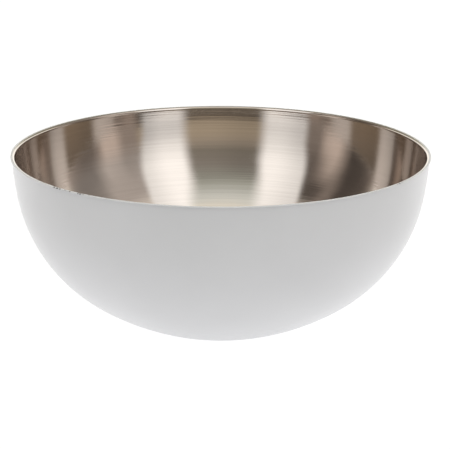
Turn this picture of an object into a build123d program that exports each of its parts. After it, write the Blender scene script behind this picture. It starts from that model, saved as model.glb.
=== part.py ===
from build123d import *
from math import asin, cos, degrees, radians, sin
import os

# Double-walled shaving bowl: a brushed steel inner bowl, a coated steel outer
# bowl and a sealed air gap between them. Millimetres, +Z up. The origin is on
# the bowl's axis, in the plane it stands on.

# Driving dimensions
height = 51.4            # standing face to the top of the coated rim
rim_radius = 60.0        # outside of the coated lip
sheet = 0.35             # drawn steel sheet, both bowls
coat = 0.08              # powder coat

# Rim: the inner bowl is bent outward over the edge of the outer bowl
lip_bend = 0.6           # outside radius of the bend, seen from inside the bowl
lip_sheet = 0.22         # the lip is rolled thinner than the sheet
lip_overhang = 0.42      # coated lip past the coated wall
collar_depth = 0.9       # rim top to the crease where the walls start to lean
seal_depth = 0.3         # sealant between the lip and the outer bowl's edge
collar_gap = 0.03        # play between the two collars

# Walls: tangent arcs from the top down, (radius, lean at the upper end)
outer_arcs = [(105.0, 3.9), (46.0, 9.2), (73.0, 57.4)]
inner_arcs = [(95.0, 7.0), (44.0, 12.2)]
inner_dish_lean = 57.0   # where the round dish of the inner floor begins

# Base
foot_bend = 6.0          # bend from the wall into the flat foot ring
foot_lift = 0.4          # steel foot ring above the standing plane
pocket_radius = 15.2
pocket_depth = 0.5
vent_radius = 2.0        # pressure relief hole of the air gap
disc_radius = 14.9
disc_thickness = 0.75
disc_edge = 0.25
seal_inner_radius = 4.0
seal_outer_radius = 12.5

# Derived levels and radii
steel_top = height - coat
lip_tip = rim_radius - coat - lip_sheet / 2   # centre of the lip's round end
lip_middle = steel_top - lip_sheet / 2
lip_under = steel_top - lip_sheet
outer_face = rim_radius - lip_overhang - coat
inner_collar = outer_face - sheet - collar_gap
crown_radius = inner_collar - sheet + lip_bend
bend_level = steel_top - lip_bend
corner_radius = lip_bend - sheet
corner_level = lip_under - corner_radius
edge_level = lip_under - seal_depth
crease = height - collar_depth
pocket_level = foot_lift + pocket_depth


def on_arc(centre, radius, lean):
    """Point of an arc where its tangent leans this much from plumb."""
    angle = radians(lean)
    return (centre[0] + radius * cos(angle), centre[1] - radius * sin(angle))


def arc_centres(start, arcs):
    """Centres of tangent arcs that run down from the start point."""
    radius, lean = arcs[0]
    centres = [on_arc(start, -radius, lean)]
    for (upper, _), (lower, lean) in zip(arcs, arcs[1:]):
        centres.append(on_arc(centres[-1], upper - lower, lean))
    return centres


def wall_edges(start, arcs, offset):
    """Face parallel to a wall: its arcs moved outward by the offset."""
    leans = [lean for _, lean in arcs] + [90.0]
    edges = []
    for i, centre in enumerate(arc_centres(start, arcs)):
        radius = arcs[i][0] + offset
        top, bottom = leans[i], leans[i + 1]
        points = [on_arc(centre, radius, lean) for lean in (top, (top + bottom) / 2, bottom)]
        edges.append(ThreePointArc(*points))
    return edges


def outer_wall():
    """Arcs of the outer bowl, closed by the bend into the flat foot ring."""
    start = (outer_face, crease)
    base_radius = outer_arcs[-1][0]
    base_level = arc_centres(start, outer_arcs)[-1][1]
    drop = (base_level - foot_bend - foot_lift) / (base_radius - foot_bend)
    return start, outer_arcs + [(foot_bend, degrees(asin(drop)))]


def inner_wall():
    """Arcs of the inner bowl's inside face, closed by a dish on the axis."""
    start = (inner_collar - sheet, crease)
    radius = inner_arcs[-1][0]
    reach = arc_centres(start, inner_arcs)[-1][0] / cos(radians(inner_dish_lean))
    return start, inner_arcs + [(radius + reach, inner_dish_lean)]


def turned(edges):
    """Solid of revolution about the bowl's axis."""
    return revolve(Plane.XZ * make_face(edges), Axis.Z)


def chain(points):
    """Straight edges through the points."""
    return [Line(a, b) for a, b in zip(points, points[1:])]


def half_round(radius):
    """Rounded end of the lip at this distance from its middle, top to bottom."""
    return ThreePointArc(
        (lip_tip, lip_middle + radius),
        (lip_tip + radius, lip_middle),
        (lip_tip, lip_middle - radius),
    )


def lip_corner(radius, level):
    """Quarter bend between collar and lip about a centre at this level."""
    centre = (crown_radius, level)
    return ThreePointArc(
        on_arc(centre, -radius, 0.0),
        on_arc(centre, -radius, 45.0),
        on_arc(centre, -radius, 90.0),
    )


def make_inner_bowl():
    start, arcs = inner_wall()
    inside = wall_edges(start, arcs, 0.0)
    outside = wall_edges(start, arcs, sheet)
    edges = inside + outside
    edges += [lip_corner(lip_bend, bend_level), lip_corner(corner_radius, corner_level)]
    edges += [half_round(lip_sheet / 2)]
    edges += chain([start, (start[0], bend_level)])
    edges += chain([(crown_radius, steel_top), (lip_tip, steel_top)])
    edges += chain([(lip_tip, lip_under), (crown_radius, lip_under)])
    edges += chain([(inner_collar, corner_level), (inner_collar, crease), outside[0] @ 0])
    edges += chain([inside[-1] @ 1, outside[-1] @ 1])
    return turned(edges)


def make_outer_bowl():
    start, arcs = outer_wall()
    outside = wall_edges(start, arcs, 0.0)
    inside = wall_edges(start, arcs, -sheet)
    inner_edge = outer_face - sheet
    pocket_top = pocket_level + sheet
    web = pocket_radius + sheet
    rim = [start, (outer_face, edge_level), (inner_edge, edge_level), (inner_edge, crease)]
    edges = outside + inside + chain(rim + [inside[0] @ 0])
    edges += chain([
        outside[-1] @ 1,
        (pocket_radius, foot_lift),
        (pocket_radius, pocket_level),
        (vent_radius, pocket_level),
        (vent_radius, pocket_top),
        (web, pocket_top),
        (web, foot_lift + sheet),
        inside[-1] @ 1,
    ])
    return turned(edges)


def make_powder_coat():
    start, arcs = outer_wall()
    skin = wall_edges(start, arcs, coat)
    steel = wall_edges(start, arcs, 0.0)
    edges = skin + steel + [half_round(lip_sheet / 2 + coat), half_round(lip_sheet / 2)]
    edges += chain([(lip_tip, height), (crown_radius, height)])
    edges += chain([(crown_radius, height), (crown_radius, steel_top), (lip_tip, steel_top)])
    edges += chain([(lip_tip, lip_under), (outer_face, lip_under), start])
    edges += chain([(lip_tip, lip_under - coat), skin[0] @ 0])
    edges += chain([
        skin[-1] @ 1,
        (pocket_radius + coat, foot_lift - coat),
        (pocket_radius + coat, foot_lift),
        steel[-1] @ 1,
    ])
    return turned(edges)


def make_rim_seal():
    edges = [lip_corner(corner_radius, corner_level)]
    edges += chain([
        (crown_radius, lip_under),
        (outer_face, lip_under),
        (outer_face, edge_level),
        (inner_collar, edge_level),
        (inner_collar, corner_level),
    ])
    return turned(edges)


def make_base_disc():
    disc = Pos(0, 0, disc_thickness / 2) * Cylinder(disc_radius, disc_thickness)
    return fillet(disc.edges().sort_by(Axis.Z)[:1], disc_edge)


def make_base_seal():
    thickness = pocket_level - disc_thickness
    ring = Circle(seal_outer_radius) - Circle(seal_inner_radius)
    return Pos(0, 0, disc_thickness) * extrude(ring, thickness)


nodes = {
    "inner_bowl": make_inner_bowl(),
    "outer_bowl": make_outer_bowl(),
    "powder_coat": make_powder_coat(),
    "rim_seal": make_rim_seal(),
    "base_disc": make_base_disc(),
    "base_seal": make_base_seal(),
}

os.makedirs("parts", exist_ok=True)
for name, solid in nodes.items():
    export_step(solid, "parts/" + name + ".step")
    box = solid.bounding_box()
    print(name, solid.is_valid, len(solid.solids()), round(solid.volume, 2), box.min, box.max)
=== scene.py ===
import random
from math import asin, atan2, cos, degrees, hypot, pi, radians, sin, tau

import bpy
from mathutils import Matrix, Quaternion, Vector


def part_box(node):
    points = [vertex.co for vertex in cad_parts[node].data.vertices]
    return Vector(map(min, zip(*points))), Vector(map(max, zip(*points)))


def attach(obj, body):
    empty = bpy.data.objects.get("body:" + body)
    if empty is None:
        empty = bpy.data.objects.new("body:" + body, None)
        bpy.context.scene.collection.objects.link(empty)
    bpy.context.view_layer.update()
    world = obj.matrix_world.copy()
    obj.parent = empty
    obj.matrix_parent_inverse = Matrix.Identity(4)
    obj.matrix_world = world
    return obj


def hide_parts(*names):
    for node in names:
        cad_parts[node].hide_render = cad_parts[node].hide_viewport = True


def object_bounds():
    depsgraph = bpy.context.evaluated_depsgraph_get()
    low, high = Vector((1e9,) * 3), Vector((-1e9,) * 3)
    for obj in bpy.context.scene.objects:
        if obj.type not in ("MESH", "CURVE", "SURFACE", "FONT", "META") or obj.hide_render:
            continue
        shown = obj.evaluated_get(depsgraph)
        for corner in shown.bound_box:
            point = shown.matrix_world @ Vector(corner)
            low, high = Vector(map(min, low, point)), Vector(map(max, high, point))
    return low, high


# The looks of a double-walled shaving bowl: turned steel inside, a matte white
# coat outside, on a pale floor. The steel and the coat are lathe meshes made
# from the CAD model's dimensions, and the two seals keep their CAD meshes. The
# studio is a sky made of directions, which the steel mirrors.
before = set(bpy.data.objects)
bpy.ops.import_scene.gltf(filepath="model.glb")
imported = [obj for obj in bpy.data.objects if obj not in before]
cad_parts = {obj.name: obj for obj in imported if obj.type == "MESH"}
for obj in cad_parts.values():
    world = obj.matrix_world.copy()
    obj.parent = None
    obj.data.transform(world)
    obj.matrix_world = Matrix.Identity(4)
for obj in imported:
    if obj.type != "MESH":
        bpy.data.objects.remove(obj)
cad_low, cad_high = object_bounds()
MM = 0.001


# ---------------------------------------------------------------- dimensions
# Millimetres and degrees, as in the CAD model. An arc of a wall is its radius
# and the wall's lean from upright where the arc starts.
SHEET = 0.35
COAT = 0.08
LIP_BEND = 0.6
LIP_SHEET = 0.22
LIP_OVERHANG = 0.42
COLLAR_DEPTH = 0.9
SEAL_DEPTH = 0.3
COLLAR_GAP = 0.03
OUTER_ARCS = [(105.0, 3.9), (46.0, 9.2), (73.0, 57.4)]
INNER_ARCS = [(95.0, 7.0), (44.0, 12.2)]
DISH_LEAN = 57.0
FOOT_BEND = 6.0
FOOT_LIFT = 0.4
POCKET_RADIUS = 15.2
POCKET_DEPTH = 0.5
VENT_RADIUS = 2.0
DISC_EDGE = 0.25

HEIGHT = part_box("powder_coat")[1].z / MM
RIM_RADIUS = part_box("inner_bowl")[1].x / MM + COAT
DISC_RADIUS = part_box("base_disc")[1].x / MM
DISC_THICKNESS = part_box("base_disc")[1].z / MM

# Only in the looks: the coat's fillet under the lip, and the length over which
# the inner wall's curvature changes to either side
UNDERCUT = 0.12
EASE = 4.5

STEEL_TOP = HEIGHT - COAT
LIP_TIP = RIM_RADIUS - COAT - LIP_SHEET / 2
LIP_MIDDLE = STEEL_TOP - LIP_SHEET / 2
LIP_UNDER = STEEL_TOP - LIP_SHEET
OUTER_FACE = RIM_RADIUS - LIP_OVERHANG - COAT
INNER_COLLAR = OUTER_FACE - SHEET - COLLAR_GAP
CROWN = INNER_COLLAR - SHEET + LIP_BEND
BEND_LEVEL = STEEL_TOP - LIP_BEND
CORNER_RADIUS = LIP_BEND - SHEET
CORNER_LEVEL = LIP_UNDER - CORNER_RADIUS
EDGE_LEVEL = LIP_UNDER - SEAL_DEPTH
CREASE = HEIGHT - COLLAR_DEPTH
POCKET_LEVEL = FOOT_LIFT + POCKET_DEPTH

# Steps down the visible faces and the hidden ones, and columns round the axis
INSIDE_STEP = 0.6
COAT_STEP = 0.9
SHELL_STEP = 1.2
HIDDEN_STEP = 2.0
INNER_COLUMNS = 480
HIDDEN_COLUMNS = 240
LIP_STEPS = 22
SHARP_ANGLE = 38
ON_AXIS = 1e-6
# The points next to the crease inside, which keep it sharp: millimetres above
# it and degrees of lean below it
ABOVE_CREASE = 0.05
BELOW_CREASE = 0.04


# ------------------------------------------------------------------ profiles
def on_arc(centre, radius, lean):
    """Point (r, z) where a wall of this radius round the centre leans this much."""
    angle = radians(lean)
    return (centre[0] + radius * cos(angle), centre[1] - radius * sin(angle))


def arc_centres(start, arcs):
    """Centres of arcs that run into one another without a corner."""
    radius, lean = arcs[0]
    centres = [on_arc(start, -radius, lean)]
    for (upper, _), (lower, lean) in zip(arcs, arcs[1:]):
        centres.append(on_arc(centres[-1], upper - lower, lean))
    return centres


def wall(start, arcs, offset, step):
    """Points down a wall until it lies flat, about step millimetres apart.

    The offset moves it out, away from the centres of its arcs.
    """
    leans = [lean for _, lean in arcs] + [90.0]
    points = []
    for i, centre in enumerate(arc_centres(start, arcs)):
        radius = arcs[i][0] + offset
        top, bottom = leans[i], leans[i + 1]
        count = max(2, round(radius * radians(bottom - top) / step))
        for k in range(count + 1):
            if points and k == 0:
                continue
            points.append(on_arc(centre, radius, top + (bottom - top) * k / count))
    return points


def eased(points, reach):
    """The same line, its curvature changing over a length instead of at once."""
    lengths = [hypot(b[0] - a[0], b[1] - a[1]) for a, b in zip(points, points[1:])]
    leans = [atan2(a[0] - b[0], a[1] - b[1]) for a, b in zip(points, points[1:])]
    middles, run = [], 0.0
    for length in lengths:
        middles.append(run + length / 2)
        run += length
    line = [points[0]]
    for at, length in zip(middles, lengths):
        half = min(reach, at, run - at)
        near = [lean for m, lean in zip(middles, leans) if abs(m - at) <= half + 1e-6]
        lean = sum(near) / len(near)
        line.append((line[-1][0] - length * sin(lean), line[-1][1] - length * cos(lean)))

    # spread what it misses the last point by along the whole line
    miss = (points[-1][0] - line[-1][0], points[-1][1] - line[-1][1])
    gone = 0.0
    for i, length in enumerate(lengths, 1):
        gone += length
        line[i] = (line[i][0] + miss[0] * gone / run, line[i][1] + miss[1] * gone / run)
    return line


def outer_wall():
    """Start and arcs of the outer bowl's outside, down to the foot ring."""
    start = (OUTER_FACE, CREASE)
    base = OUTER_ARCS[-1][0]
    level = arc_centres(start, OUTER_ARCS)[-1][1]
    lean = degrees(asin((level - FOOT_BEND - FOOT_LIFT) / (base - FOOT_BEND)))
    return start, OUTER_ARCS + [(FOOT_BEND, lean)]


def inner_wall():
    """Start and arcs of the inner bowl's inside, down to the middle."""
    start = (INNER_COLLAR - SHEET, CREASE)
    radius = INNER_ARCS[-1][0]
    reach = arc_centres(start, INNER_ARCS)[-1][0] / cos(radians(DISH_LEAN))
    return start, INNER_ARCS + [(radius + reach, DISH_LEAN)]


def turn(centre, radius, first, last, count):
    """Points of a small arc; angles in degrees from outward, anticlockwise."""
    angles = [radians(first + (last - first) * k / count) for k in range(count + 1)]
    return [(centre[0] + radius * cos(a), centre[1] + radius * sin(a)) for a in angles]


# -------------------------------------------------------------------- meshes
def lathe(name, profile, angles):
    """Solid of revolution. profile(angle) gives the closed (r, z) loop in millimetres.

    A loop point on the axis becomes one shared vertex.
    """
    loops = [profile(a) for a in angles]
    rows, columns = len(loops[0]), len(angles)
    verts, faces, index = [], [], {}
    for i, (a, loop) in enumerate(zip(angles, loops)):
        for j, (r, z) in enumerate(loop):
            key = (0 if r < ON_AXIS else i, j)
            if key not in index:
                index[key] = len(verts)
                verts.append((r * cos(a) * MM, r * sin(a) * MM, z * MM))
    for i in range(columns):
        for j in range(rows):
            n, m = (i + 1) % columns, (j + 1) % rows
            on = [loops[0][j][0] < ON_AXIS, loops[0][m][0] < ON_AXIS]
            if all(on):
                continue
            a = index[(0 if on[0] else i, j)]
            b = index[(0 if on[0] else n, j)]
            c = index[(0 if on[1] else n, m)]
            d = index[(0 if on[1] else i, m)]
            if on[0]:
                faces.append([a, c, d])
            elif on[1]:
                faces.append([a, b, c])
            else:
                faces.append([a, b, c, d])
    mesh = bpy.data.meshes.new(name)
    mesh.from_pydata(verts, [], faces)
    mesh.validate()
    mesh.shade_smooth()
    mesh.set_sharp_from_angle(angle=radians(SHARP_ANGLE))
    piece = bpy.data.objects.new(name, mesh)
    bpy.context.scene.collection.objects.link(piece)
    return piece


def even(count):
    """This many angles, evenly round the axis."""
    return [tau * i / count for i in range(count)]


# ----------------------------------------------------------------- materials
class Nodes:
    """Short way to build a node tree."""

    def __init__(self, owner):
        owner.use_nodes = True
        self.tree = owner.node_tree
        self.tree.nodes.clear()

    def add(self, kind, inputs=None, **settings):
        node = self.tree.nodes.new(kind)
        for key, value in settings.items():
            setattr(node, key, value)
        for key, value in (inputs or {}).items():
            self.put(node.inputs[key], value)
        return node

    def put(self, socket, value):
        if isinstance(value, bpy.types.NodeSocket):
            self.tree.links.new(value, socket)
        else:
            socket.default_value = value

    def math(self, operation, *values, clamp=False):
        node = self.add("ShaderNodeMath", operation=operation, use_clamp=clamp)
        for socket, value in zip(node.inputs, values):
            self.put(socket, value)
        return node.outputs[0]

    def ramp(self, value, low, high, to_low=0.0, to_high=1.0, smooth=True):
        node = self.add("ShaderNodeMapRange", clamp=True)
        node.interpolation_type = "SMOOTHSTEP" if smooth else "LINEAR"
        for key, v in zip(("Value", "From Min", "From Max", "To Min", "To Max"),
                          (value, low, high, to_low, to_high)):
            self.put(node.inputs[key], v)
        return node.outputs["Result"]

    def mix(self, factor, a, b):
        node = self.add("ShaderNodeMix", data_type="RGBA")
        self.put(node.inputs["Factor"], factor)
        self.put(node.inputs[6], a)
        self.put(node.inputs[7], b)
        return node.outputs[2]

    def noise(self, vector, scale, detail=2.0, roughness=0.5):
        node = self.add("ShaderNodeTexNoise", inputs={
            "Vector": vector, "Scale": scale, "Detail": detail, "Roughness": roughness})
        return node.outputs["Fac"]

    def blend(self, a, b, share):
        """Share of a, and the rest of b, as plain numbers."""
        return self.math("ADD", self.math("MULTIPLY", a, share),
                         self.math("MULTIPLY", b, 1.0 - share))

    def bump(self, height, strength, distance):
        node = self.add("ShaderNodeBump", inputs={
            "Height": height, "Strength": strength, "Distance": distance})
        return node.outputs[0]

    def finish(self, shader):
        self.add("ShaderNodeOutputMaterial", inputs={"Surface": shader.outputs[0]})


def grey(v):
    return (v, v, v, 1)


def rings(n, place):
    """Where a surface point is, for rings round the axis.

    Gives the cosine and sine of its angle, a length that grows along the profile
    and its distance from the axis, both in metres.
    """
    x, y, z = n.add("ShaderNodeSeparateXYZ", inputs={"Vector": place}).outputs
    r = n.math("SQRT", n.math("ADD", n.math("MULTIPLY", x, x), n.math("MULTIPLY", y, y)))
    safe = n.math("MAXIMUM", r, 1e-5)
    return n.math("DIVIDE", x, safe), n.math("DIVIDE", y, safe), n.math("ADD", r, z), r


def streaks(n, ring, around, spacing, seed, detail, roughness=0.5):
    """Noise drawn out round the axis, its rings this many millimetres apart."""
    c, s, along = ring
    vector = n.add("ShaderNodeCombineXYZ", inputs={
        "X": n.math("MULTIPLY_ADD", c, around, seed),
        "Y": n.math("MULTIPLY", s, around),
        "Z": n.math("MULTIPLY", along, 1.0 / (spacing * MM)),
    }).outputs[0]
    return n.noise(vector, scale=1.0, detail=detail, roughness=roughness)


# Fine scratches inside the bowl: two angles in radians and a seed each
SCRATCHES = [(0.9, 0.5, 0.0), (0.6, 2.2, 5.0), (1.2, 1.3, 9.0)]
SCRATCH_SCALE = (4000.0, 4000.0, 90.0)
# Near-black colour the steel takes from a given radius outward
DARK_STEEL = (0.05, 0.048, 0.045, 1)


def scratches(n, place):
    """1 in thin short lines that lie in a few directions, 0 elsewhere."""
    found = None
    for turn_x, turn_z, seed in SCRATCHES:
        turned = n.add("ShaderNodeMapping", inputs={
            "Vector": place, "Location": (seed, seed, seed),
            "Rotation": (turn_x, 0.0, turn_z), "Scale": SCRATCH_SCALE}).outputs[0]
        noise = n.noise(turned, scale=1.0, detail=1.0, roughness=0.4)
        line = n.ramp(noise, 0.76, 0.80)
        found = line if found is None else n.math("MAXIMUM", found, line)
    return found


def brushed_steel(name, colours, roughness=0.09, anisotropic=0.35, scratched=0.0,
                  darkened_from=None):
    """Turned steel: rings round the axis, reflections drawn out across them.

    Its colours are the lower and upper tone of the rings and that of bright
    marks. From a given radius outward, in millimetres, it is near black and rougher.
    """
    low, high, mark = colours
    material = bpy.data.materials.new(name)
    n = Nodes(material)
    place = n.add("ShaderNodeTexCoord").outputs["Object"]
    *ring, r = rings(n, place)
    fine = streaks(n, ring, around=0.5, spacing=0.28, seed=3.0, detail=3.0, roughness=0.6)
    lines = streaks(n, ring, around=0.8, spacing=0.75, seed=23.0, detail=1.0)
    broad = streaks(n, ring, around=0.7, spacing=4.0, seed=17.0, detail=2.0)
    marks = streaks(n, ring, around=2.6, spacing=0.4, seed=41.0, detail=1.0)
    bright = n.ramp(marks, 0.66, 0.76)
    rough = n.math("ADD", n.ramp(fine, 0.3, 0.7, roughness - 0.01, roughness + 0.01),
                   n.ramp(broad, 0.3, 0.7, -0.006, 0.006))
    tone = n.mix(n.ramp(n.blend(fine, lines, 0.5), 0.38, 0.62), low, high)
    tone = n.mix(n.math("MULTIPLY", bright, 0.2), tone, mark)
    height = n.blend(lines, fine, 0.8)
    if scratched:
        scratch = scratches(n, place)
        tone = n.mix(n.math("MULTIPLY", scratch, scratched), tone, mark)
        height = n.math("SUBTRACT", height, n.math("MULTIPLY", scratch, 0.08))
    # Near black and rougher from a given radius outward: on the inner bowl this is the steel
    # under the coat, seen mostly where the coat is chipped
    if darkened_from is not None:
        darkened = n.ramp(r, darkened_from * MM, (darkened_from + 0.02) * MM)
        tone = n.mix(darkened, tone, DARK_STEEL)
        rough = n.math("MAXIMUM", rough, n.math("MULTIPLY", darkened, 0.5))
    tangent = n.add("ShaderNodeTangent", direction_type="RADIAL", axis="Z")
    n.finish(n.add("ShaderNodeBsdfPrincipled", inputs={
        "Base Color": tone, "Metallic": 1.0, "Roughness": rough,
        "Anisotropic": anisotropic, "Anisotropic Rotation": 0.25,
        "Normal": n.bump(height, strength=0.42, distance=0.00004),
        "Tangent": tangent.outputs[0]}))
    return material


def sealant(name):
    """Cured adhesive: dull, faintly lumpy, with fine pores."""
    material = bpy.data.materials.new(name)
    n = Nodes(material)
    place = n.add("ShaderNodeTexCoord").outputs["Object"]
    lumps = n.noise(place, scale=900.0)
    pores = n.noise(place, scale=6000.0, detail=1.0)
    tone = n.mix(n.ramp(lumps, 0.3, 0.7), (0.50, 0.49, 0.46, 1), (0.58, 0.57, 0.54, 1))
    n.finish(n.add("ShaderNodeBsdfPrincipled", inputs={
        "Base Color": tone, "Roughness": n.ramp(pores, 0.3, 0.7, 0.5, 0.65),
        "Normal": n.bump(n.blend(lumps, pores, 0.7), strength=0.4, distance=0.0001)}))
    return material


def powder_coat(name):
    """Matte white coat: even, with a faint orange peel and a fine grain."""
    material = bpy.data.materials.new(name)
    n = Nodes(material)
    place = n.add("ShaderNodeTexCoord").outputs["Object"]
    peel = n.noise(place, scale=1500.0)
    grain = n.noise(place, scale=5200.0, roughness=0.6)
    cloud = n.noise(place, scale=45.0, detail=3.0)
    tone = n.mix(n.ramp(cloud, 0.3, 0.7), (0.700, 0.703, 0.719, 1), (0.720, 0.723, 0.740, 1))
    n.finish(n.add("ShaderNodeBsdfPrincipled", inputs={
        "Base Color": tone, "Roughness": n.ramp(grain, 0.3, 0.7, 0.36, 0.44),
        "Specular IOR Level": 0.5,
        "Normal": n.bump(n.blend(peel, grain, 0.7), strength=0.25, distance=0.00005)}))
    return material


# -------------------------------------------------------------------- pieces
steel_inside = brushed_steel("turned_steel", [
    (0.526, 0.474, 0.438, 1), (0.552, 0.498, 0.46, 1), (0.62, 0.56, 0.52, 1)],
    scratched=0.3, darkened_from=CROWN + 0.02)
steel_disc = brushed_steel("spun_steel", [grey(0.58), grey(0.64), grey(0.75)],
                           roughness=0.28, anisotropic=0.6)
steel_dull = brushed_steel("drawn_steel", [grey(0.50), grey(0.56), grey(0.62)],
                           roughness=0.45, anisotropic=0.3)
white = powder_coat("matte_white_coat")


def inner_profile(_):
    start, arcs = inner_wall()
    inside = eased(wall(start, arcs, 0.0, INSIDE_STEP), EASE)
    outside = wall(start, arcs, SHEET, HIDDEN_STEP)
    top = arc_centres(start, arcs)[0]
    inside.insert(1, on_arc(top, arcs[0][0], arcs[0][1] + BELOW_CREASE))
    inside.insert(0, (start[0], start[1] + ABOVE_CREASE))
    inside[-1] = (0.0, inside[-1][1])
    outside[-1] = (0.0, outside[-1][1])
    centre = (CROWN, BEND_LEVEL)
    loop = inside[::-1]
    loop += turn(centre, LIP_BEND, 180, 90, count=20)
    loop += turn((LIP_TIP, LIP_MIDDLE), LIP_SHEET / 2, 90, -90, count=8)
    loop += turn((CROWN, CORNER_LEVEL), CORNER_RADIUS, 90, 180, count=4)
    loop += outside
    return loop


inner = lathe("inner_bowl_steel", inner_profile, even(INNER_COLUMNS))
inner.data.materials.append(steel_inside)
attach(inner, "root")
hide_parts("inner_bowl")


def outer_profile(_):
    start, arcs = outer_wall()
    outside = wall(start, arcs, 0.0, SHELL_STEP)
    inside = wall(start, arcs, -SHEET, HIDDEN_STEP)
    inner_edge = OUTER_FACE - SHEET
    web = POCKET_RADIUS + SHEET
    top = POCKET_LEVEL + SHEET
    loop = [(inner_edge, EDGE_LEVEL), (OUTER_FACE, EDGE_LEVEL)] + outside
    loop += [(POCKET_RADIUS, FOOT_LIFT), (POCKET_RADIUS, POCKET_LEVEL),
             (VENT_RADIUS, POCKET_LEVEL), (VENT_RADIUS, top), (web, top),
             (web, FOOT_LIFT + SHEET)]
    loop += inside[::-1]
    return loop


outer = lathe("outer_bowl_steel", outer_profile, even(HIDDEN_COLUMNS))
outer.data.materials.append(steel_dull)
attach(outer, "root")
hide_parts("outer_bowl")


# Worn specks along the coat's upper edge: angle and half width in degrees, and
# how far they reach round the lip (0 at the crown, 1 where its end starts to
# turn under, 2 underneath)
CHIPS = [(-138.2, 0.4, 1.9), (-137.0, 0.55, 2.0), (-135.9, 0.35, 1.8), (-133.9, 0.2, 1.55),
         (-132.1, 0.32, 1.7), (-129.3, 0.3, 1.65), (-128.5, 0.45, 1.85), (-127.5, 0.22, 1.55),
         (-125.8, 0.16, 1.35), (-37.0, 0.25, 1.5), (-36.1, 0.35, 1.65), (-34.9, 0.2, 1.4),
         (-32.8, 0.12, 1.3), (13.5, 0.22, 1.4)]
WEAR_SEED = 7
COAT_SPACING = 0.5       # degrees between the coat's columns,
CHIP_SPACING = 0.06      # closer at a chip
CHIP_MARGIN = 0.15
wear = random.Random(WEAR_SEED)


def chip_columns():
    """Angles of the coat's columns, in degrees, close together at the chips."""
    half_turn = round(180 / COAT_SPACING)
    columns = set(round(COAT_SPACING * i, 2) for i in range(-half_turn, half_turn))
    for middle, half, _ in CHIPS:
        first = middle - half - CHIP_MARGIN
        count = round(2 * (half + CHIP_MARGIN) / CHIP_SPACING)
        columns.update(round(first + CHIP_SPACING * i, 2) for i in range(count))
    return sorted(columns)


def bare(angle):
    """How far round the lip the coat is worn off."""
    degree = degrees(angle)
    depth = 0.03 + 0.06 * wear.random()
    for middle, half, most in CHIPS:
        off = abs(degree - middle) / half
        if off < 1.0:
            depth = max(depth, most * (1.0 - off ** 4) * wear.uniform(0.8, 1.0))
    return depth


def lip_path(radius, first):
    """Over the lip and round its end, from worn edge to underside."""
    points = []
    for k in range(LIP_STEPS + 1):
        u = first + (2.0 - first) * k / LIP_STEPS
        if u < 1.0:
            points.append((CROWN + (LIP_TIP - CROWN) * u, LIP_MIDDLE + radius))
        else:
            a = radians(270 - 180 * u)
            points.append((LIP_TIP + radius * cos(a), LIP_MIDDLE + radius * sin(a)))
    return points


def coat_profile(angle):
    start, arcs = outer_wall()
    skin = wall(start, arcs, COAT, COAT_STEP)
    steel = wall(start, arcs, 0.0, HIDDEN_STEP)
    end = POCKET_RADIUS + COAT
    first = bare(angle)
    corner = (OUTER_FACE + COAT + UNDERCUT, LIP_UNDER - COAT - UNDERCUT)
    loop = lip_path(LIP_SHEET / 2 + COAT, first)
    loop += turn(corner, UNDERCUT, 90, 180, count=4) + skin
    loop += [(end, FOOT_LIFT - COAT), (end, FOOT_LIFT)] + steel[::-1]
    loop += [(OUTER_FACE, LIP_UNDER)] + lip_path(LIP_SHEET / 2, first)[::-1]
    return loop


coat = lathe("white_coat_skin", coat_profile, [radians(a) for a in chip_columns()])
coat.data.materials.append(white)
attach(coat, "root")
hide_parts("powder_coat")


def disc_profile(_):
    loop = [(0.0, DISC_THICKNESS), (DISC_RADIUS, DISC_THICKNESS)]
    loop += turn((DISC_RADIUS - DISC_EDGE, DISC_EDGE), DISC_EDGE, 0, -90, count=6)
    loop += [(0.0, 0.0)]
    return loop


disc = lathe("base_disc_steel", disc_profile, even(HIDDEN_COLUMNS))
disc.data.materials.append(steel_disc)
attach(disc, "root")
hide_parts("base_disc")


adhesive = sealant("cured_sealant")
for node in ("rim_seal", "base_seal"):
    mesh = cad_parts[node].data
    mesh.materials.clear()
    mesh.materials.append(adhesive)


# ------------------------------------------------------------ floor and light
# Metres from here on. The discs that give the floor's light lie below it.
FLOOR_RADIUS = 3.0
BACKDROP_RADIUS = 3.5
FLOOR_DROP = 0.00005     # keeps the floor clear of the base disc's underside
MIRRORED_DROP = 0.0005
SCATTERED_DROP = 0.0006


def backdrop_material():
    material = bpy.data.materials.new("backdrop_white")
    n = Nodes(material)
    n.finish(n.add("ShaderNodeEmission", inputs={"Strength": 1.0}))
    return material


def floor_material():
    """Pale floor that looks evenly lit whatever stands on it."""
    material = bpy.data.materials.new("pale_floor")
    n = Nodes(material)
    place = n.add("ShaderNodeTexCoord").outputs["Object"]
    cloud = n.noise(place, scale=30.0)
    tone = n.mix(n.ramp(cloud, 0.3, 0.7), grey(0.19), grey(0.20))
    n.finish(n.add("ShaderNodeBsdfPrincipled", inputs={
        "Base Color": tone, "Roughness": 0.9, "Specular IOR Level": 0.0,
        "Emission Color": grey(1.0), "Emission Strength": 0.9}))
    return material


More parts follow.
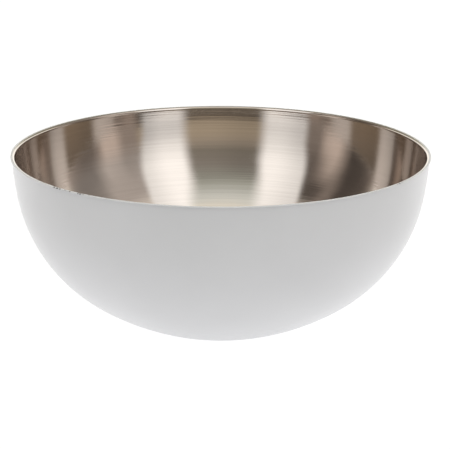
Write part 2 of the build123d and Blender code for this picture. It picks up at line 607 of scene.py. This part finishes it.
def bounce_material(name, extra_behind, extra_beside):
    """Light off the floor: dim in front, brighter round the bowl and behind it.

    Beside the bowl it is brightest close by, and a little more so on the right.
    """
    material = bpy.data.materials.new(name)
    n = Nodes(material)
    place = n.add("ShaderNodeTexCoord").outputs["Object"]
    x, y, _ = n.add("ShaderNodeSeparateXYZ", inputs={"Vector": place}).outputs
    around = n.ramp(y, -0.2, -0.066, 0.37, 0.94, smooth=False)
    behind = n.ramp(y, -0.03, 0.12, 0.0, extra_behind)
    away = n.math("ABSOLUTE", x)
    close_by = n.math("MULTIPLY", n.ramp(away, 0.005, 0.035), n.ramp(away, 0.06, 0.13, 1.0, 0.0))
    close_by = n.math("MULTIPLY", close_by, n.ramp(y, -0.08, 0.0))
    extra = n.ramp(x, -0.02, 0.02, 0.85 * extra_beside, 1.15 * extra_beside)
    beside = n.math("MULTIPLY", close_by, extra)
    strength = n.math("ADD", n.math("ADD", around, behind), beside)
    n.finish(n.add("ShaderNodeEmission", inputs={"Strength": strength}))
    return material


def disc_on_floor(name, level, material):
    bpy.ops.mesh.primitive_circle_add(
        vertices=96, radius=FLOOR_RADIUS, fill_type="NGON", location=(0, 0, level))
    disc = bpy.context.object
    disc.name = name
    disc.data.materials.append(material)
    return disc


# The camera sees the floor, gloss sees the mirrored light and matte surfaces
# the scattered light
floor = disc_on_floor("studio_floor", cad_low.z - FLOOR_DROP, floor_material())
floor.visible_diffuse = False
floor.visible_glossy = False
mirrored = disc_on_floor("studio_bounce_mirrored", cad_low.z - MIRRORED_DROP,
                         bounce_material("floor_mirrored", 0.68, 0.25))
mirrored.visible_diffuse = False
scattered = disc_on_floor("studio_bounce_scattered", cad_low.z - SCATTERED_DROP,
                          bounce_material("floor_scattered", 0.0, 0.07))
scattered.visible_glossy = False
for bounce in (mirrored, scattered):
    bounce.visible_camera = False
    bounce.visible_shadow = False

# White behind everything, for the camera only
bpy.ops.mesh.primitive_uv_sphere_add(
    segments=48, ring_count=24, radius=BACKDROP_RADIUS, location=(0, 0, 0))
dome = bpy.context.object
dome.name = "studio_backdrop"
dome.data.materials.append(backdrop_material())
dome.visible_diffuse = False
dome.visible_glossy = False
dome.visible_transmission = False
dome.visible_shadow = False


def scaled(n, colour, amount):
    node = n.add("ShaderNodeVectorMath", operation="SCALE", inputs={"Vector": colour})
    n.put(node.inputs["Scale"], amount)
    return node.outputs["Vector"]


def tinted(stops, tint):
    """Stops of brightness as stops of colour."""
    return [(at, [level * t for t in tint]) for at, level in stops]


def colour_ramp(n, value, low, high, stops):
    """Colours at values between low and high, straight in between."""
    node = n.add("ShaderNodeValToRGB", inputs={
        "Fac": n.ramp(value, low, high, smooth=False)})
    band = node.color_ramp
    while len(band.elements) < len(stops):
        band.elements.new(0.5)
    for element, (at, colour) in zip(band.elements, stops):
        element.position = (at - low) / (high - low)
        element.color = (*colour, 1)
    return node.outputs["Color"]


# The room as the steel mirrors it. Directions in degrees: azimuth from the
# camera toward +X, and rise above the horizon. First the side of the room where
# the camera is, as colour at each rise
LOWEST, ZENITH = -5, 90
AHEAD = [(-5, (0.02, 0.018, 0.015)), (2, (0.03, 0.026, 0.02)), (3.3, (0.14, 0.12, 0.10)),
         (4.8, (0.44, 0.39, 0.30)), (6, (0.54, 0.48, 0.37)), (10, (0.54, 0.48, 0.37)),
         (15, (0.46, 0.42, 0.35)), (21, (0.30, 0.29, 0.25)), (31, (0.33, 0.32, 0.29)),
         (42, (0.41, 0.44, 0.40)), (48, (0.58, 0.64, 0.59)), (55, (0.82, 0.91, 0.88)),
         (61, (0.99, 1.09, 1.06)), (66, (1.14, 1.20, 1.12)), (90, (1.14, 1.16, 1.0))]
# Beside the bowl and behind it, as brightness at each azimuth, at three rises
LOW = [(-118, 1.3), (-110, 0.50), (-104, 0.24), (-97, 0.11), (-86, 0.08), (-81, 0.30),
       (-75, 0.72), (-70, 0.72), (-66, 0.62), (-61, 0.27), (-50, 0.25), (50, 0.36),
       (60, 0.38), (66, 0.72), (74, 0.76), (78, 0.36), (83, 0.20), (92, 0.20), (98, 0.28),
       (107, 0.50), (118, 1.3)]
MIDDLE = [(-122, 1.3), (-112, 0.28), (-104, 0.13), (-96, 0.10), (-89, 0.09), (-85, 0.15),
          (-79, 0.42), (-74, 0.60), (-70, 0.50), (-65, 0.28), (-61, 0.17), (-50, 0.22),
          (50, 0.48), (62, 0.46), (67, 0.60), (77, 0.70), (82, 0.48), (87, 0.31), (102, 0.31),
          (110, 0.40), (122, 1.3)]
HIGH = [(-125, 0.7), (-106, 0.18), (-98, 0.10), (-91, 0.11), (-86, 0.27), (-82, 0.28),
        (-76, 0.15), (-71, 0.12), (-50, 0.18), (50, 0.55), (66, 0.60), (84, 0.64), (91, 0.44),
        (97, 0.35), (106, 0.34), (125, 0.7)]
ABOVE_SIDES = (1.25, 1.26, 1.18, 1)
OVERHEAD = (1.4, 1.36, 1.24, 1)
# The walls' colour, the paler one of the right side, and the lamps' own colour
TINT = (1.10, 0.98, 0.88)
PALER_TINT = (1.02, 0.985, 0.94)
LAMP_TINT = (1.078, 1.031, 1.002)
# The white sweep behind the bowl, and the dark room above it
BEHIND = [(-5, (1.5, 1.55, 1.52)), (14, (1.45, 1.5, 1.46)), (18, (0.80, 0.84, 0.74)),
          (24, (0.42, 0.43, 0.35)), (34, (0.34, 0.33, 0.27)), (50, (0.28, 0.27, 0.22)),
          (90, (0.28, 0.27, 0.22))]

# Two softboxes between the camera and the sides. An upright edge is its azimuth
# low down, the rise where it starts to lean out, the lean, the rise where it
# starts to curve out, and the curve. The levels are brightness at each rise.
SOFTBOXES = [
    {"side": 1.0,
     "inner": (21.1, 0.0, 0.0, 42.0, 0.024),
     "outer": (46.8, 6.0, 0.30, 38.0, 0.02),
     "levels": [(-5, 1.4), (1, 1.38), (3.7, 1.2), (5, 0.97), (9, 1.07), (16, 1.42),
                (28, 1.75), (90, 1.75)]},
    {"side": -1.0,
     "inner": (24.7, 27.0, 0.22, 47.0, 0.02),
     "outer": (52.1, 11.0, 0.33, 33.0, 0.018),
     "levels": [(-5, 1.6), (1, 1.5), (3.7, 1.34), (5, 1.14), (8, 1.17), (16, 1.39),
                (28, 1.68), (45, 1.65), (60, 1.6), (90, 1.6)]},
]
BOX_TINT = (0.98, 1.04, 1.06)
BOX_HEART = 34.0         # from this azimuth outward a box gets dimmer,
BOX_DIMMED = 0.76        # down to this share of its level at its outer edge


def bent_edge(n, rise, start, lean_from, lean, curve_from, curve):
    """Azimuth of a softbox's edge at this rise."""
    leaning = n.math("MAXIMUM", n.math("SUBTRACT", rise, lean_from), 0.0)
    curving = n.math("MAXIMUM", n.math("SUBTRACT", rise, curve_from), 0.0)
    curved = n.math("MULTIPLY", n.math("MULTIPLY", curving, curving), curve)
    return n.math("ADD", n.math("MULTIPLY_ADD", leaning, lean, start), curved)


def ahead_colour(n, azimuth, rise):
    """The camera's side of the room: dimmer on the left, except high up."""
    ahead = colour_ramp(n, rise, LOWEST, ZENITH, AHEAD)
    shade = n.ramp(azimuth, -18.0, 8.0, 0.85, 1.03)
    return n.mix(n.ramp(rise, 36.0, 46.0, 1.0, 0.0), ahead, scaled(n, ahead, shade))


def side_colour(n, azimuth, rise):
    """The walls left and right, from the table to well above it."""
    low, middle, high = (
        colour_ramp(n, azimuth, -180, 180, tinted([stop for stop in ring if stop[0] < 0], TINT)
                    + tinted([stop for stop in ring if stop[0] >= 0], right))
        for ring, right in ((LOW, TINT), (MIDDLE, PALER_TINT), (HIGH, PALER_TINT)))
    sides = n.mix(n.ramp(rise, 9.0, 20.0, smooth=False), low, middle)
    sides = n.mix(n.ramp(rise, 22.0, 36.0, smooth=False), sides, high)
    return n.mix(n.ramp(rise, 42.0, 62.0), sides, ABOVE_SIDES)


def with_softbox(n, azimuth, rise, sky, box):
    """The sky with a softbox in it, its inner edge softer toward the top."""
    across = n.math("MULTIPLY", azimuth, box["side"])
    inner = bent_edge(n, rise, *box["inner"])
    outer = bent_edge(n, rise, *box["outer"])
    inside = n.ramp(n.math("SUBTRACT", across, inner),
                    n.ramp(rise, 36.0, 58.0, -4.0, -8.5, smooth=False),
                    n.ramp(rise, 36.0, 58.0, 5.0, 11.5, smooth=False))
    outside = n.ramp(n.math("SUBTRACT", outer, across), -3.0, 3.0)
    top = n.ramp(rise, 72.0, 78.0, 1.0, 0.0)
    cover = n.math("MULTIPLY", n.math("MULTIPLY", inside, outside), top)
    outward = n.math("DIVIDE", n.math("SUBTRACT", across, BOX_HEART),
                     n.math("SUBTRACT", outer, BOX_HEART))
    glow = colour_ramp(n, rise, LOWEST, ZENITH, tinted(box["levels"], BOX_TINT))
    glow = scaled(n, glow, n.ramp(outward, 0.0, 1.0, 1.0, BOX_DIMMED))
    return n.mix(cover, sky, glow)


def studio_world():
    world = bpy.data.worlds.new("studio")
    bpy.context.scene.world = world
    n = Nodes(world)
    way = n.add("ShaderNodeTexCoord").outputs["Generated"]
    x, y, z = n.add("ShaderNodeSeparateXYZ", inputs={"Vector": way}).outputs
    azimuth = n.math("MULTIPLY", n.math("ARCTAN2", x, n.math("MULTIPLY", y, -1.0)), 180 / pi)
    rise = n.math("MULTIPLY", n.math("ARCSINE", z), 180 / pi)
    away = n.math("ABSOLUTE", azimuth)
    sides = n.mix(n.ramp(away, 106.0, 122.0), side_colour(n, azimuth, rise),
                  colour_ramp(n, rise, LOWEST, ZENITH, BEHIND))
    sky = n.mix(n.ramp(away, 46.0, 54.0), ahead_colour(n, azimuth, rise), sides)
    sky = n.mix(n.ramp(rise, 64.0, 84.0), sky, OVERHEAD)
    for box in SOFTBOXES:
        sky = with_softbox(n, azimuth, rise, sky, box)
    warm = n.add("ShaderNodeVectorMath", operation="MULTIPLY")
    n.put(warm.inputs[0], sky)
    n.put(warm.inputs[1], LAMP_TINT)
    background = n.add("ShaderNodeBackground", inputs={
        "Color": warm.outputs["Vector"], "Strength": 1.0})
    n.add("ShaderNodeOutputWorld", inputs={"Surface": background.outputs[0]})


studio_world()


# -------------------------------------------------------------------- camera
CAMERA_DISTANCE = 10 * RIM_RADIUS * MM
CAMERA_LIFT = 13.88      # degrees above the rim's plane
CAMERA_ROLL = 0.159      # degrees
AIM_FROM_RIM = (0.00127, 0, -0.02171)
LENS, SENSOR = 167.5, 36.0


def camera():
    """In front of the bowl, aimed at a point below the middle of its rim."""
    rim = Vector((0, 0, cad_high.z))
    lift = radians(CAMERA_LIFT)
    eye = rim + CAMERA_DISTANCE * Vector((0, -cos(lift), sin(lift)))
    aim = rim + Vector(AIM_FROM_RIM)
    data = bpy.data.cameras.new("camera")
    data.lens = LENS
    data.sensor_width = SENSOR
    data.clip_end = 20.0
    seat = bpy.data.objects.new("camera", data)
    seat.rotation_mode = "QUATERNION"
    seat.location = eye
    facing = (aim - eye).to_track_quat("-Z", "Y")
    seat.rotation_quaternion = facing @ Quaternion((0, 0, 1), radians(CAMERA_ROLL))
    bpy.context.scene.collection.objects.link(seat)
    bpy.context.scene.camera = seat


camera()

# Near the ends of the rim the steel mirrors itself many times over, and would
# turn black with the usual number of bounces
BOUNCES = 16
GLOSSY_BOUNCES = 12
scene = bpy.context.scene
scene.view_settings.view_transform = "Standard"
scene.cycles.max_bounces = BOUNCES
scene.cycles.glossy_bounces = GLOSSY_BOUNCES
